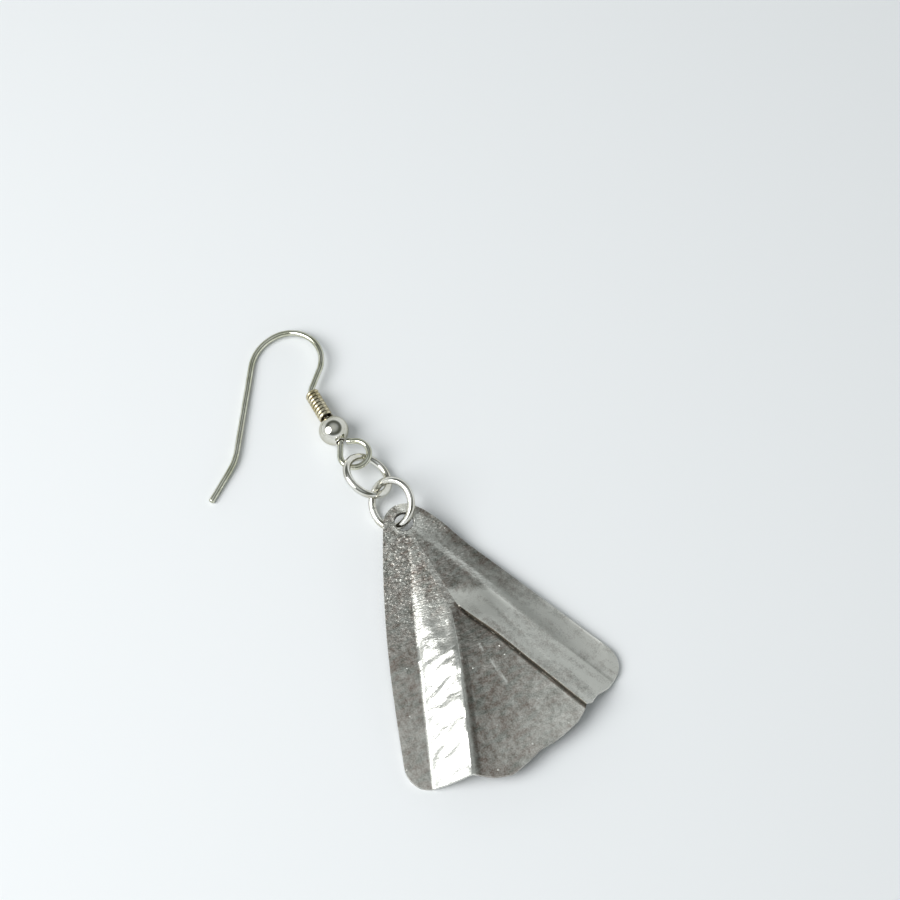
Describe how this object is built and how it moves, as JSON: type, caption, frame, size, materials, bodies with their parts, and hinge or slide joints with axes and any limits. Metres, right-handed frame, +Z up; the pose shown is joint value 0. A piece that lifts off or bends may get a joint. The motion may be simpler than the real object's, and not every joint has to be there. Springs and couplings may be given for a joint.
{
  "type": "fan earring",
  "caption": "Fan-shaped drop earring of folded hammered sheet, hung by two jump rings from a wire ear hook with a bead and a coil, lying flat.",
  "frame": {"origin": "centre of the whole earring's box seen from above, on the table that it lies on", "axes": "+Y along the earring, from the fan towards the hook's arch; +Z up from the table; +X to the right"},
  "size_m": [0.0272, 0.053, 0.0039],
  "materials": {
    "hook_wire": "bright silver plate on wire",
    "coil_wire": "bright silver plate on fine wire, slightly yellow",
    "bead": "polished silver plate",
    "ring_wire": "bright silver plate on wire",
    "fan_sheet": "satin hammered silver sheet with a grey bloom"
  },
  "bodies": {
    "root": {"ear_hook": "hook_wire", "hook_coil": "coil_wire", "hook_bead": "bead", "jump_ring_upper": "ring_wire", "jump_ring_lower": "ring_wire", "fan_plate": "fan_sheet"}
  },
  "joints": []
}
